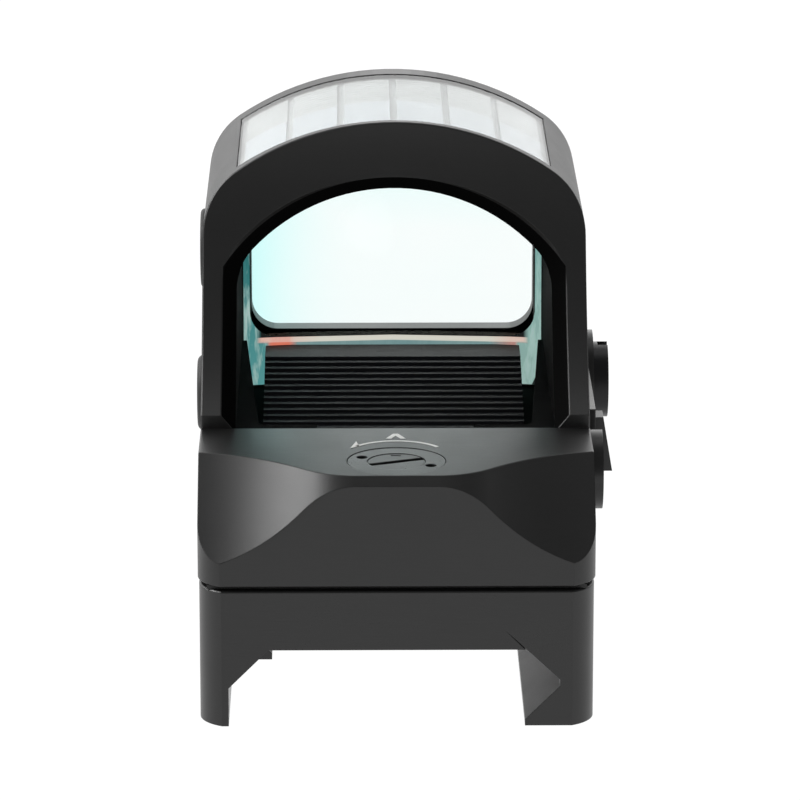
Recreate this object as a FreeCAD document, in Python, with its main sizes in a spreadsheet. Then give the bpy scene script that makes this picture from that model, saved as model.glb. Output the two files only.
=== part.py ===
import FreeCAD, Part
import math
import os
import re

import Sketcher
from FreeCAD import Placement, Rotation, Vector

# Open reflex red dot finder on a clamp for a 21.2 mm accessory rail.
# Millimetres. The origin is the middle of the face that sits on the rail,
# +Y points at the sky target, +X to the observer's right, +Z up.

SIZES = {
    # body block and rail mount
    "body_half": 14.6, "mount_half": 14.5, "length_half": 22.6,
    "plate_top": 2.88, "body_bottom": 3.2, "deck_top": 11.48, "edge_cut": 0.64,
    "corner_radius": 3.0, "corner_in": 1.66, "corner_start": 2.67,
    "seat_half": 7.8, "groove_apex": 11.97, "groove_apex_depth": 4.17, "groove_flat": 0.25,
    "lip_half": 9.4, "leg_bottom": 7.47, "left_leg_inner": 12.35,
    "lug_depth": 1.62, "lug_length": 4.9,
    # clamp
    "jaw_half": 7.0, "jaw_gap": 0.2, "jaw_inner": 11.8, "clamp_travel": 2.4,
    "clamp_screw_height": 0.4, "clamp_screw_radius": 1.25, "clamp_head_radius": 2.1,
    "clamp_head_depth": 1.4,
    # body to mount screws
    "mount_screw_x": 5.0, "mount_screw_y": 20.15, "mount_screw_radius": 1.25,
    "mount_head_radius": 2.2, "mount_head_top": 1.0, "mount_screw_top": 7.2,
    # hood
    "hood_top": 32.4, "hood_arc": 21.7, "shoulder_radius": 5.6,
    "foot_y": -9.3, "foot_z": 12.5, "sweep_top_y": 2.4, "sweep_radius": 28.0,
    "scoop_start": 3.0, "scoop_lip": 0.45, "scoop_crest": 6.4, "scoop_hollow": 17.0,
    "scoop_turn_x": 6.816, "scoop_turn_depth": 1.712, "scoop_side_depth": 4.9,
    # tunnel, lens and trough
    "tunnel_half": 12.0, "tunnel_top": 27.25, "tunnel_arc": 15.5, "tunnel_corner": 4.0,
    "rim_cut": 1.1, "edge_soft": 0.1,
    "lens_seat_y": 20.6, "lens_room_y": 16.8, "lens_bottom": 7.6, "lens_rear_y": 19.2, "lens_curve": 60.0,
    "lens_thick": 1.7, "lens_axis_z": 18.8, "aperture_bottom": 11.5, "aperture_corner": 2.1,
    "aperture_step": 0.6,
    "trough_half": 10.3, "trough_front_half": 11.7, "trough_corner": 0.7, "trough_rear": -8.2, "trough_front": 18.2, "trough_floor": 7.5,
    "notch_half": 5.9, "notch_rear": -9.0, "notch_depth": 0.9,
    # stepped ramp in front of the emitter
    "ramp_half": 10.15, "ramp_rear": 3.4, "ramp_run": 0.9, "ramp_rise": 0.235,
    "ramp_first": 0.25, "ramp_steps": 13, "ramp_front": 18.0,
    # solar strip
    "solar_half": 12.0, "solar_rear": 3.3, "solar_front": 20.4, "solar_depth": 1.0,
    "cell_thick": 0.2, "cell_count": 6, "cell_gap": 0.55,
    # elevation dial and carriage
    "dial_y": -18.1, "dial_ring_radius": 3.6, "dial_head_radius": 2.1, "dial_fit": 0.05,
    "dial_ring_bottom": 10.25, "dial_shaft_radius": 1.25, "dial_slot": 0.6,
    "dial_slot_depth": 0.5, "dial_turn": 22.0, "spanner_hole_radius": 0.42, "spanner_hole_x": 2.52, "spanner_hole_y": 1.1,
    "carriage_half": 2.9, "carriage_low": 5.6, "carriage_high": 7.6, "carriage_travel": 0.5,
    # windage dial, crosswise
    "windage_y": -6.6, "windage_z": 7.5, "windage_ring_radius": 3.0,
    "windage_head_radius": 1.9, "windage_shaft_radius": 1.0, "windage_proud": 1.07,
    # battery tray
    "battery_radius": 8.0, "battery_thick": 3.2, "battery_x": 1.5, "battery_y": 9.4,
    "tray_half": 8.7, "tray_low": 3.65, "tray_high": 7.15, "tray_inner": -7.4,
    "tray_floor": 3.9, "slot_fit": 0.2, "flange_thick": 0.8, "flange_low": 3.6,
    "flange_high": 10.8, "flange_half": 11.0, "boss_radius": 3.95, "boss_proud": 1.3,
    "lock_y": 15.4, "lock_z": 8.6, "lock_head_radius": 3.0, "lock_proud": 2.5,
    "lock_shaft_radius": 1.25, "lug_y": 1.4, "lug_proud": 2.15,
    # brightness buttons
    "minus_y": 7.4, "minus_z": 9.75, "minus_radius": 2.95, "minus_proud": 0.7,
    "plus_y": 11.4, "plus_z": 20.4, "plus_radius": 3.1, "plus_proud": 0.45,
    "button_floor": 12.6, "flex_thick": 0.15, "switch_thick": 0.3, "button_gap": 0.4,
    "cover_thick": 0.4,
}

doc = FreeCAD.newDocument("red_dot_finder")
sheet = doc.addObject("Spreadsheet::Sheet", "Sizes")
for row, (alias, size) in enumerate(SIZES.items(), 1):
    sheet.set(f"A{row}", alias)
    sheet.set(f"B{row}", str(size))
    sheet.setAlias(f"B{row}", alias)
doc.recompute()

nodes = {}


def formula(text):
    """A sheet formula: every size named in the text is read from the sheet."""
    return re.sub(r"[a-z_]{3,}", lambda word: "Sizes." + word[0] if word[0] in SIZES else word[0], text)


def value(text):
    return float(sheet.evalExpression(formula(text)))


def keep(piece, node):
    piece.Label = node
    nodes[node] = piece
    return piece


# ---- sketch-based bodies ----

def new_body(node):
    return keep(doc.addObject("PartDesign::Body", node + "_body"), node)


def arc_between(start, end, radius):
    """The short arc from start to end, turning left where the radius is positive."""
    chord = end - start
    left = Vector(-chord.y, chord.x, 0).normalize()
    rise = math.sqrt(radius ** 2 - (chord.Length / 2) ** 2)
    middle = start + chord * 0.5 + left * math.copysign(rise, radius)
    angles = [math.atan2((corner - middle).y, (corner - middle).x) for corner in (start, end)]
    if radius < 0:
        angles.reverse()
    return Part.ArcOfCircle(Part.Circle(middle, Vector(0, 0, 1), abs(radius)), *angles)


def sketch(body, name, role, outlines=(), circles=(), shift=("0", "0", "0"), tilt=0):
    """Closed outlines of corners (x, y) or (x, y, radius of the arc to the next corner)."""
    drawing = body.newObject("Sketcher::SketchObject", name)
    plane = next(item for item in body.Origin.OriginFeatures if item.Role == role)
    drawing.AttachmentSupport = [(plane, "")]
    drawing.MapMode = "FlatFace"
    drawing.AttachmentOffset = Placement(Vector(), Rotation(Vector(1, 0, 0), tilt))
    for axis, amount in zip("xyz", shift):
        drawing.setExpression("AttachmentOffset.Base." + axis, formula(amount))

    def fix(kind, *where, to):
        number = drawing.addConstraint(Sketcher.Constraint(kind, *where, value(to)))
        drawing.setExpression(f"Constraints[{number}]", formula(to))

    for outline in outlines:
        points = [Vector(value(corner[0]), value(corner[1]), 0) for corner in outline]
        sides = []
        for corner, start, end in zip(outline, points, points[1:] + points[:1]):
            if len(corner) == 2:
                sides.append((drawing.addGeometry(Part.LineSegment(start, end)), 1, 2))
                continue
            radius = value(corner[2])
            side = drawing.addGeometry(arc_between(start, end, radius))
            sides.append((side, 1, 2) if radius > 0 else (side, 2, 1))
            fix("Radius", side, to=corner[2].lstrip("-"))
        for index, (side, first, _) in enumerate(sides):
            before, _, last = sides[index - 1]
            drawing.addConstraint(Sketcher.Constraint("Coincident", side, first, before, last))
            fix("DistanceX", -1, 1, side, first, to=outline[index][0])
            fix("DistanceY", -1, 1, side, first, to=outline[index][1])
    for across, up, radius in circles:
        middle = Vector(value(across), value(up), 0)
        side = drawing.addGeometry(Part.Circle(middle, Vector(0, 0, 1), value(radius)))
        fix("Radius", side, to=radius)
        fix("DistanceX", -1, 1, side, 3, to=across)
        fix("DistanceY", -1, 1, side, 3, to=up)
    return drawing


def feature(body, kind, drawing, length=None, both=False, back=False):
    """A Pad or Pocket of one sketch; a Pocket with no length goes right through."""
    step = body.newObject("PartDesign::" + kind, drawing.Name + "_" + kind.lower())
    step.Profile = drawing
    step.Reversed = back
    if both:
        step.SideType = "Symmetric"
    if length is None:
        step.Type = "ThroughAll"
    else:
        step.setExpression("Length", formula(length))
    doc.recompute()
    body.Tip = step
    return step


def pad(body, drawing, length, **how):
    return feature(body, "Pad", drawing, length, **how)


def pocket(body, drawing, length=None, **how):
    before = body.Shape.Volume
    step = feature(body, "Pocket", drawing, length, **how)
    if body.Shape.Volume > before - 1e-4:
        raise RuntimeError(drawing.Name + " cuts nothing")
    return step


def rectangle(left, bottom, right, top):
    return [(left, bottom), (right, bottom), (right, top), (left, top)]


def mirrored(outline):
    """The outline on the other side of the middle plane."""
    radii = [corner[2:] for corner in outline][::-1]
    radii = radii[1:] + radii[:1]
    return [(f"-({corner[0]})", corner[1]) + radius for corner, radius in zip(outline[::-1], radii)]


# ---- primitives ----

def place(piece, x, y, z, rotation=None):
    piece.Placement = Placement(Vector(), rotation or Rotation())
    for axis, amount in zip("xyz", (x, y, z)):
        piece.setExpression("Placement.Base." + axis, formula(amount))
    return piece


def block(name, x, y, z):
    """A box between two formulas along each axis."""
    piece = doc.addObject("Part::Box", name)
    for prop, (low, high) in zip(("Length", "Width", "Height"), (x, y, z)):
        piece.setExpression(prop, formula(f"({high}) - ({low})"))
    return place(piece, x[0], y[0], z[0])


TURNS = {"x": Rotation(Vector(0, 1, 0), 90), "y": Rotation(Vector(1, 0, 0), -90), "z": Rotation()}


def rod(name, axis, radius, span, at):
    """A cylinder along an axis from span[0] to span[1], with its other two coordinates given."""
    piece = doc.addObject("Part::Cylinder", name)
    piece.setExpression("Radius", formula(radius))
    piece.setExpression("Height", formula(f"({span[1]}) - ({span[0]})"))
    base = list(at)
    base.insert("xyz".index(axis), span[0])
    return place(piece, *base, rotation=TURNS[axis])


def fuse(name, *pieces):
    whole = doc.addObject("Part::MultiFuse", name)
    whole.Shapes = list(pieces)
    return whole


def cut(name, base, *tools):
    whole = doc.addObject("Part::Cut", name)
    whole.Base = base
    whole.Tool = tools[0] if len(tools) == 1 else fuse(name + "_tools", *tools)
    return whole


def common(name, first, second):
    whole = doc.addObject("Part::Common", name)
    whole.Base = first
    whole.Tool = second
    return whole


def group(node, pieces):
    whole = doc.addObject("Part::Compound", node + "_set")
    whole.Links = list(pieces)
    return keep(whole, node)


def ring(name, axis, outer, inner, span, at):
    return cut(name, rod(name + "_outer", axis, outer, span, at), rod(name + "_hole", axis, inner, span, at))


def turned_about(piece, angle, x, y, z):
    """A piece drawn about the origin, turned on the Z axis and moved to a place."""
    holder = doc.addObject("Part::Compound", piece.Name + "_turned")
    holder.Links = [piece]
    holder.Placement = Placement(Vector(), Rotation(Vector(0, 0, 1), value(angle)))
    for axis, amount in zip("xyz", (x, y, z)):
        holder.setExpression("Placement.Base." + axis, formula(amount))
    return holder


# ---- outlines shared by neighbours ----

def rear_corner(half):
    """What is cut off a rounded rear corner, in plan, right side."""
    flat = f"{half} - corner_in"
    return [(flat, "-length_half", "corner_radius"), (half, "-length_half + corner_start"),
            (f"{half} + 1", "-length_half + corner_start"), (f"{half} + 1", "-length_half - 1"),
            (flat, "-length_half - 1")]


def arched(half, top, arc, corner, bottom, foot=""):
    """Upright sides, rounded shoulders and an arched top, each running smoothly into the next."""
    reach = f"(({arc}) - ({corner}))"
    across = f"(({half}) - ({corner}))"
    rise = f"sqrt({reach} * {reach} - {across} * {across})"
    touch_x = f"({across} * ({arc}) / {reach})"
    touch_z = f"({top}) - ({arc}) + {rise} * ({arc}) / {reach}"
    side = f"({top}) - ({arc}) + {rise}"
    right_foot = [(half, bottom)]
    left_foot = [(f"-({half})", bottom)]
    if foot:
        right_foot = [(f"({half}) - {foot}", bottom, foot), (half, f"{bottom} + {foot}")]
        left_foot = [(f"-({half})", f"{bottom} + {foot}", foot), (f"-({half}) + {foot}", bottom)]
    return right_foot + [(half, side, corner), (touch_x, touch_z, arc), (f"-{touch_x}", touch_z, corner),
                         (f"-({half})", side)] + left_foot


def tunnel_outline(grow, bottom, foot=""):
    """The sight window's section, grown or shrunk all round."""
    sizes = [f"{size} + ({grow})" for size in ("tunnel_half", "tunnel_top", "tunnel_arc", "tunnel_corner")]
    return arched(*sizes, bottom, foot)


# ---- rail mount and clamp ----

def make_rail_mount():
    body = new_body("rail_mount")
    gusset = "left_leg_inner - seat_half"
    section = sketch(body, "mount_section", "XZ_Plane", [[
        ("-mount_half", "plate_top"), ("-mount_half", "-leg_bottom"), ("-left_leg_inner", "-leg_bottom"),
        ("-left_leg_inner", f"-({gusset})"), ("-seat_half", "0"), ("seat_half", "0"),
        ("groove_apex", "-groove_apex_depth + groove_flat"), ("groove_apex", "-groove_apex_depth - groove_flat"),
        ("lip_half", "lip_half - groove_apex - groove_apex_depth - groove_flat"),
        ("lip_half", "-leg_bottom"), ("mount_half", "-leg_bottom"), ("mount_half", "plate_top")]])
    pad(body, section, "2 * length_half", both=True)
    corner = rear_corner("mount_half")
    pocket(body, sketch(body, "mount_corners", "XY_Plane", [corner, mirrored(corner)]), both=True)
    lug = [("-seat_half - lug_depth", "-lug_depth"), ("seat_half + lug_depth", "-lug_depth"),
           ("seat_half - 0.5", "0.5"), ("-seat_half + 0.5", "0.5")]
    for name, start in (("rear_lug", "length_half - lug_length"), ("front_lug", "-length_half")):
        pad(body, sketch(body, name, "XZ_Plane", [lug], shift=("0", "0", start)), "lug_length")
    jaw_room = sketch(body, "jaw_room", "XY_Plane", [rectangle(
        "-mount_half - 1", "-jaw_half - jaw_gap", "-jaw_inner + jaw_gap", "jaw_half + jaw_gap")])
    pocket(body, jaw_room, both=True)
    clamp_thread = sketch(body, "clamp_thread", "YZ_Plane",
                          circles=[("0", "clamp_screw_height", "clamp_screw_radius + 0.04")],
                          shift=("0", "0", "-jaw_inner"))
    pocket(body, clamp_thread, "3.1", back=True)
    spots = [(side + "mount_screw_x", end + "mount_screw_y") for side in ("", "-") for end in ("", "-")]
    heads = sketch(body, "head_wells", "XY_Plane", circles=[(*spot, "mount_head_radius + 0.1") for spot in spots],
                   shift=("0", "0", "-lug_depth - 0.1"))
    pocket(body, heads, "lug_depth + 0.1 + mount_head_top", back=True)
    holes = sketch(body, "screw_holes", "XY_Plane", circles=[(*spot, "mount_screw_radius + 0.1") for spot in spots])
    pocket(body, holes, both=True)
    top, side, end = value("plate_top"), value("mount_half") - 0.01, value("length_half") - 0.01

    def is_top_rim(box, faces):
        if min(box.ZMin, box.ZMax) < top - 0.01 or not {"plane_x", "plane_y", "corner_radius"} & set(faces):
            return False
        along_side = abs(box.XMin - box.XMax) < 0.01 and abs(box.XMin) > side
        along_end = abs(box.YMin - box.YMax) < 0.01 and abs(box.YMin) > end
        return along_side or along_end or "corner_radius" in faces

    dress(body, "Chamfer", "top_bevel", "edge_soft", is_top_rim)


def make_clamp():
    body = new_body("clamp_jaw")
    section = sketch(body, "jaw_section", "XZ_Plane", [[
        ("-mount_half", "plate_top - 0.08"), ("-mount_half", "-leg_bottom"), ("-lip_half", "-leg_bottom"),
        ("-lip_half", "lip_half - groove_apex - groove_apex_depth - groove_flat"),
        ("-jaw_inner", "jaw_inner - groove_apex - groove_apex_depth - groove_flat"),
        ("-jaw_inner", "plate_top - 0.08")]])
    pad(body, section, "2 * jaw_half", both=True)
    shaft_way = sketch(body, "jaw_hole", "YZ_Plane",
                       circles=[("0", "clamp_screw_height", "clamp_screw_radius + 0.05")])
    pocket(body, shaft_way, both=True)
    well = sketch(body, "jaw_well", "YZ_Plane", circles=[("0", "clamp_screw_height", "clamp_head_radius + 0.05")],
                  shift=("0", "0", "-mount_half"))
    pocket(body, well, "clamp_head_depth + 0.1", back=True)
    at = ("0", "clamp_screw_height")
    head = rod("clamp_head", "x", "clamp_head_radius", ("-mount_half + 0.08", "-mount_half + clamp_head_depth + 0.08"), at)
    shaft = rod("clamp_shaft", "x", "clamp_screw_radius", ("-mount_half + 0.5", "-lip_half + 0.5"), at)
    socket = doc.addObject("Part::Prism", "clamp_socket")
    socket.Polygon = 6
    socket.setExpression("Circumradius", formula("clamp_head_radius * 0.5"))
    socket.setExpression("Height", formula("clamp_head_depth * 0.6"))
    place(socket, "-mount_half", *at, rotation=TURNS["x"])
    keep(cut("clamp_screw_cut", fuse("clamp_screw_solid", head, shaft), socket), "clamp_screw")


def make_mount_fasteners():
    screws = []
    for index, (side, end) in enumerate((a, b) for a in ("", "-") for b in ("", "-")):
        at = (side + "mount_screw_x", end + "mount_screw_y")
        head = rod(f"mount_head_{index}", "z", "mount_head_radius", ("mount_head_top - 1.3", "mount_head_top"), at)
        shaft = rod(f"mount_shaft_{index}", "z", "mount_screw_radius", ("mount_head_top - 0.5", "mount_screw_top"), at)
        drive = rod(f"mount_drive_{index}", "z", "mount_screw_radius * 0.7",
                    ("mount_head_top - 2", "mount_head_top - 0.6"), at)
        screws.append(cut(f"mount_screw_{index}", fuse(f"mount_solid_{index}", head, shaft), drive))
    group("mount_screws", screws)
    body = new_body("base_gasket")
    outline = sketch(body, "gasket_outline", "XY_Plane", [
        rectangle("-body_half + 0.7", "-length_half + 0.7", "body_half - 0.7", "length_half - 0.7"),
        rectangle("-body_half + 2.6", "-length_half + 5.6", "body_half - 2.6", "length_half - 5.6")],
        circles=[(side + "mount_screw_x", end + "mount_screw_y", "mount_screw_radius + 0.2")
                 for side in ("", "-") for end in ("", "-")],
        shift=("0", "0", "plate_top"))
    pad(body, outline, "body_bottom - plate_top")


# ---- housing ----

def make_housing():
    body = new_body("housing")
    hood = arched("body_half", "hood_top", "hood_arc", "shoulder_radius", "body_bottom")
    pad(body, sketch(body, "front_outline", "XZ_Plane", [hood]), "2 * length_half", both=True)
    pocket(body, sketch(body, "rear_sweep", "YZ_Plane", [[
        ("-length_half - 1", "deck_top - edge_cut - 1"), ("-length_half + edge_cut", "deck_top"),
        ("foot_y", "deck_top"), ("foot_y", "foot_z", "sweep_radius"), ("sweep_top_y", "hood_top"),
        ("sweep_top_y", "hood_top + 1"), ("-length_half - 1", "hood_top + 1")]]), both=True)
    corner = rear_corner("body_half")
    pocket(body, sketch(body, "body_corners", "XY_Plane", [corner, mirrored(corner)]), both=True)
    scoop = [("scoop_start", "-scoop_lip", "-scoop_crest"), ("scoop_turn_x", "-scoop_turn_depth", "scoop_hollow"),
             ("body_half", "-scoop_side_depth"), ("body_half + 1", "-scoop_side_depth"),
             ("body_half + 1", "2"), ("scoop_start", "2")]
    pocket(body, sketch(body, "corner_scoops", "XZ_Plane", [scoop, mirrored(scoop)],
                        shift=("0", "deck_top", "length_half"), tilt=45), "30", both=True)
    pocket(body, sketch(body, "tunnel", "XZ_Plane", [tunnel_outline("0", "deck_top")],
                        shift=("0", "0", "-lens_seat_y")), "60", back=True)
    pocket(body, sketch(body, "aperture", "XZ_Plane", [
        tunnel_outline("-aperture_step", "aperture_bottom", "aperture_corner")],
        shift=("0", "0", "-length_half")), "5", back=True)
    pocket(body, sketch(body, "lens_slot", "XZ_Plane", [rectangle(
        "-tunnel_half", "lens_bottom", "tunnel_half", "deck_top + 0.5")], shift=("0", "0", "-lens_seat_y")),
        "lens_seat_y - lens_room_y", back=True)
    trough = sketch(body, "trough", "XY_Plane", [[
        ("trough_half - trough_corner", "trough_rear", "trough_corner"),
        ("trough_half", "trough_rear + trough_corner"), ("trough_front_half", "trough_front"),
        ("-trough_front_half", "trough_front"), ("-trough_half", "trough_rear + trough_corner", "trough_corner"),
        ("-trough_half + trough_corner", "trough_rear")]], shift=("0", "0", "deck_top"))
    pocket(body, trough, "deck_top - trough_floor")
    notch = sketch(body, "deck_notch", "XY_Plane", [
        rectangle("-notch_half", "notch_rear", "notch_half", "trough_rear + 0.5")], shift=("0", "0", "deck_top"))
    pocket(body, notch, "notch_depth")
    make_inner_rooms(body)
    make_dial_bores(body)
    make_solar_recess(body)
    dress_housing(body)


def dress(body, kind, name, size, is_edge):
    """A Chamfer or Fillet along every edge that the test picks."""
    edges = [f"Edge{index}" for index, edge in enumerate(body.Shape.Edges, 1)
             if is_edge(edge.BoundBox, [face_label(face) for face in body.Shape.ancestorsOfType(edge, Part.Face)])]
    uncut = body.Tip
    step = body.newObject("PartDesign::" + kind, name)
    step.Base = (uncut, edges)
    step.setExpression("Size" if kind == "Chamfer" else "Radius", formula(size))
    doc.recompute()
    body.Tip = step


def face_label(face):
    """Which of the outer faces this is, by its radius or its plane."""
    surface = face.Surface
    if isinstance(surface, Part.Cylinder):
        radii = ("sweep_radius", "hood_arc", "shoulder_radius", "corner_radius", "scoop_crest", "scoop_hollow")
        return next((size for size in radii if abs(surface.Radius - value(size)) < 0.01), "round")
    if isinstance(surface, Part.Plane):
        return next(("plane_" + axis for axis in "xyz" if abs(getattr(surface.Axis, axis)) > 0.99), "slope")
    return "other"


def dress_housing(body):
    """Bevels on the window's and the hood's rims, and on the edges that a hand meets."""
    window, side, end = value("tunnel_half") + 0.01, value("body_half") - 0.01, value("length_half") - 0.01
    low, deck, foot = value("body_bottom"), value("deck_top"), value("foot_y")

    def reach(box):
        return max(abs(box.XMin), abs(box.XMax))

    def level(box, height):
        return abs(box.ZMin - height) < 0.01 and abs(box.ZMax - height) < 0.01

    def is_hood_rim(box, faces):
        swept = "sweep_radius" in faces and ({"plane_x", "shoulder_radius", "hood_arc"} & set(faces))
        rim = swept and (reach(box) > window + 1.5 or "hood_arc" in faces or "shoulder_radius" in faces)
        front = box.YMin > end and "plane_y" in faces and ({"shoulder_radius", "hood_arc"} & set(faces)
                                                           or ("plane_x" in faces and reach(box) > side))
        feet = set(faces) == {"plane_x", "plane_y"} and reach(box) > side and abs(box.YMax - foot) < 0.01
        lower = level(box, low) and (reach(box) > side or box.YMax < -end or "corner_radius" in faces)
        lower = lower and set(faces) & {"plane_x", "plane_y", "corner_radius"}
        strip = "hood_arc" in faces and ({"plane_x", "plane_y"} & set(faces)) and box.YMax < end
        return rim or front or feet or (lower and box.YMin < -end + 3) or strip

    def is_deck_rim(box, faces):
        outer = reach(box) > side or {"slope", "scoop_crest", "scoop_hollow"} & set(faces)
        return level(box, deck) and box.YMin < foot - 1 and outer

    dress(body, "Chamfer", "window_bevel", "rim_cut",
          lambda box, faces: "sweep_radius" in faces and reach(box) < window)
    dress(body, "Chamfer", "hood_bevel", "edge_soft", is_hood_rim)
    dress(body, "Fillet", "deck_rounding", "edge_soft", is_deck_rim)


def make_inner_rooms(body):
    """Emitter room, carriage arm room, battery slot, board room and cover recess."""
    emitter = sketch(body, "emitter_room", "XY_Plane", [
        rectangle("-8", "trough_rear - 1.5", "8", "-0.4")], shift=("0", "0", "4.2"))
    pocket(body, emitter, "trough_floor + 2.9 - 4.2", back=True)
    arm = sketch(body, "arm_room", "XY_Plane", [
        rectangle("-carriage_half - 0.4", "-21", "carriage_half + 0.4", "trough_rear")], shift=("0", "0", "4.8"))
    pocket(body, arm, "3.9", back=True)
    slot = sketch(body, "battery_slot", "YZ_Plane", [rectangle(
        "battery_y - tray_half - slot_fit", "tray_low - 0.05", "battery_y + tray_half + slot_fit", "tray_high + 0.05")],
        shift=("0", "0", "tray_inner - 0.4"))
    pocket(body, slot, "30", back=True)
    cover = sketch(body, "cover_recess", "XY_Plane", [rectangle("-10.5", "-9.4", "10.5", "18.9")],
                   shift=("0", "0", "body_bottom"))
    pocket(body, cover, "cover_thick + 0.01", back=True)
    spots = [("-9.6", "-8"), ("9.6", "-8"), ("-9.4", "17.4")]
    pocket(body, sketch(body, "cover_threads", "XY_Plane", circles=[(*spot, "0.55") for spot in spots],
                        shift=("0", "0", "body_bottom")), "2.4", back=True)
    threads = [(side + "mount_screw_x", end + "mount_screw_y", "mount_screw_radius + 0.04")
               for side in ("", "-") for end in ("", "-")]
    pocket(body, sketch(body, "mount_threads", "XY_Plane", circles=threads, shift=("0", "0", "body_bottom")),
           "mount_screw_top - body_bottom + 0.3", back=True)


def make_dial_bores(body):
    at = ("0", "dial_y")
    pocket(body, sketch(body, "dial_well", "XY_Plane", circles=[(*at, "dial_ring_radius + dial_fit")],
                        shift=("0", "0", "deck_top")), "deck_top - dial_ring_bottom")
    pocket(body, sketch(body, "dial_flange_well", "XY_Plane", circles=[(*at, "2.85")],
                        shift=("0", "0", "deck_top")), "deck_top - 9.4")
    pocket(body, sketch(body, "dial_shaft_hole", "XY_Plane", circles=[(*at, "dial_shaft_radius + 0.05")],
                        shift=("0", "0", "deck_top")), "4")
    side = ("windage_y", "windage_z")
    pocket(body, sketch(body, "windage_well", "YZ_Plane", circles=[(*side, "windage_ring_radius + dial_fit")],
                        shift=("0", "0", "body_half")), "1.2")
    pocket(body, sketch(body, "windage_flange_well", "YZ_Plane", circles=[(*side, "2.45")],
                        shift=("0", "0", "body_half")), "2")
    pocket(body, sketch(body, "windage_shaft_hole", "YZ_Plane", circles=[(*side, "windage_shaft_radius + 0.05")],
                        shift=("0", "0", "body_half")), "8")
    lock = sketch(body, "lock_thread", "YZ_Plane", circles=[("lock_y", "lock_z", "lock_shaft_radius + 0.05")],
                  shift=("0", "0", "body_half"))
    pocket(body, lock, "2.6")
    wells = [("minus_y", "minus_z", "minus_radius + 0.08"), ("plus_y", "plus_z", "plus_radius + 0.08")]
    for name, well in zip(("minus_well", "plus_well"), wells):
        pocket(body, sketch(body, name, "YZ_Plane", circles=[well], shift=("0", "0", "-body_half")),
               "body_half - button_floor", back=True)
    channel = sketch(body, "flex_channel", "YZ_Plane", [rectangle("7.6", "minus_z", "10.9", "plus_z")],
                     shift=("0", "0", "-button_floor"))
    pocket(body, channel, "flex_thick + 0.1")


def arch_strip(left, right, inner, outer):
    """Outline of a curved strip between two places across the hood, at two radii from its arch's middle."""
    centre = "hood_top - hood_arc"

    def height(across, radius):
        return f"{centre} + sqrt(({radius}) * ({radius}) - ({across}) * ({across}))"

    return [(right, height(right, inner)), (right, height(right, outer), outer),
            (left, height(left, outer)), (left, height(left, inner), "-" + inner)]


def make_solar_recess(body):
    strip = arch_strip("-solar_half", "solar_half", "hood_arc - solar_depth", "hood_arc + 1")
    pocket(body, sketch(body, "solar_recess", "XZ_Plane", [strip], shift=("0", "0", "-solar_rear")),
           "solar_front - solar_rear")


def arched_pad(node, strips, rear, front):
    body = new_body(node)
    for index, strip in enumerate(strips):
        drawing = sketch(body, f"{node}_outline_{index}", "XZ_Plane", [strip], shift=("0", "0", f"-({rear})"))
        pad(body, drawing, f"({front}) - ({rear})", back=True)


def make_solar_panel():
    edge = "solar_half - 0.05"
    base = "hood_arc - solar_depth"
    arched = [("solar_carrier", "0.02", "0.2"), ("solar_glass", "0.48", "0.95")]
    for node, low, high in arched:
        strip = arch_strip(f"-({edge})", edge, f"({base} + {low})", f"({base} + {high})")
        arched_pad(node, [strip], "solar_rear + 0.05", "solar_front - 0.05")
    # the cells are small curved plates side by side
    floor, top = value(base + " + 0.22"), value(base + " + 0.42")
    middle = value("hood_top - hood_arc")
    count, gap = int(value("cell_count")), value("cell_gap")
    reach = math.degrees(math.asin(value("solar_half - 0.5") / top))
    pitch = 2 * reach / count
    plates = []
    for index in range(count):
        turn = pitch - math.degrees(gap / top)
        start = 90 - reach + index * pitch + math.degrees(gap / top) / 2
        plate = Part.makeCylinder(top, value("solar_front - solar_rear - 1.4"), Vector(), Vector(0, 0, 1), turn)
        plate = plate.cut(Part.makeCylinder(floor, 40, Vector(0, 0, -1)))
        plate.rotate(Vector(), Vector(0, 0, 1), start)
        plate.rotate(Vector(), Vector(1, 0, 0), 90)
        plate.translate(Vector(0, value("solar_front - 0.7"), middle))
        plates.append(plate)
    cells = doc.addObject("Part::Feature", "solar_cell_plates")
    cells.Shape = Part.makeCompound(plates)
    keep(cells, "solar_cells")


# ---- lens and ramp ----

def make_lens():
    body = new_body("lens_blank")
    del nodes["lens_blank"]
    outline = tunnel_outline("-0.06", "lens_bottom + 0.06")
    pad(body, sketch(body, "lens_outline", "XZ_Plane", [outline], shift=("0", "0", "-16")), "8", back=True)
    height = "lens_axis_z"

    def ball(name, radius, front):
        sphere = doc.addObject("Part::Sphere", name)
        sphere.setExpression("Radius", formula(radius))
        return place(sphere, "0", f"({front}) - ({radius})", height)

    outer = ball("lens_front", "lens_curve + lens_thick", "lens_rear_y + lens_thick")
    shell = cut("lens_shell", outer, ball("lens_hollow", "lens_curve", "lens_rear_y"))
    keep(common("lens_solid", body, shell), "lens")
    glue = new_body("glue_blank")
    del nodes["glue_blank"]
    pad(glue, sketch(glue, "glue_outline", "XZ_Plane", [outline, tunnel_outline("-0.55", "lens_bottom + 1.1")],
                     shift=("0", "0", "-lens_seat_y")), "1.6")
    behind = ball("lens_side", "lens_curve + lens_thick + 0.01", "lens_rear_y + lens_thick + 0.01")
    keep(cut("glue_bead", glue, behind), "lens_bond")


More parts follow.
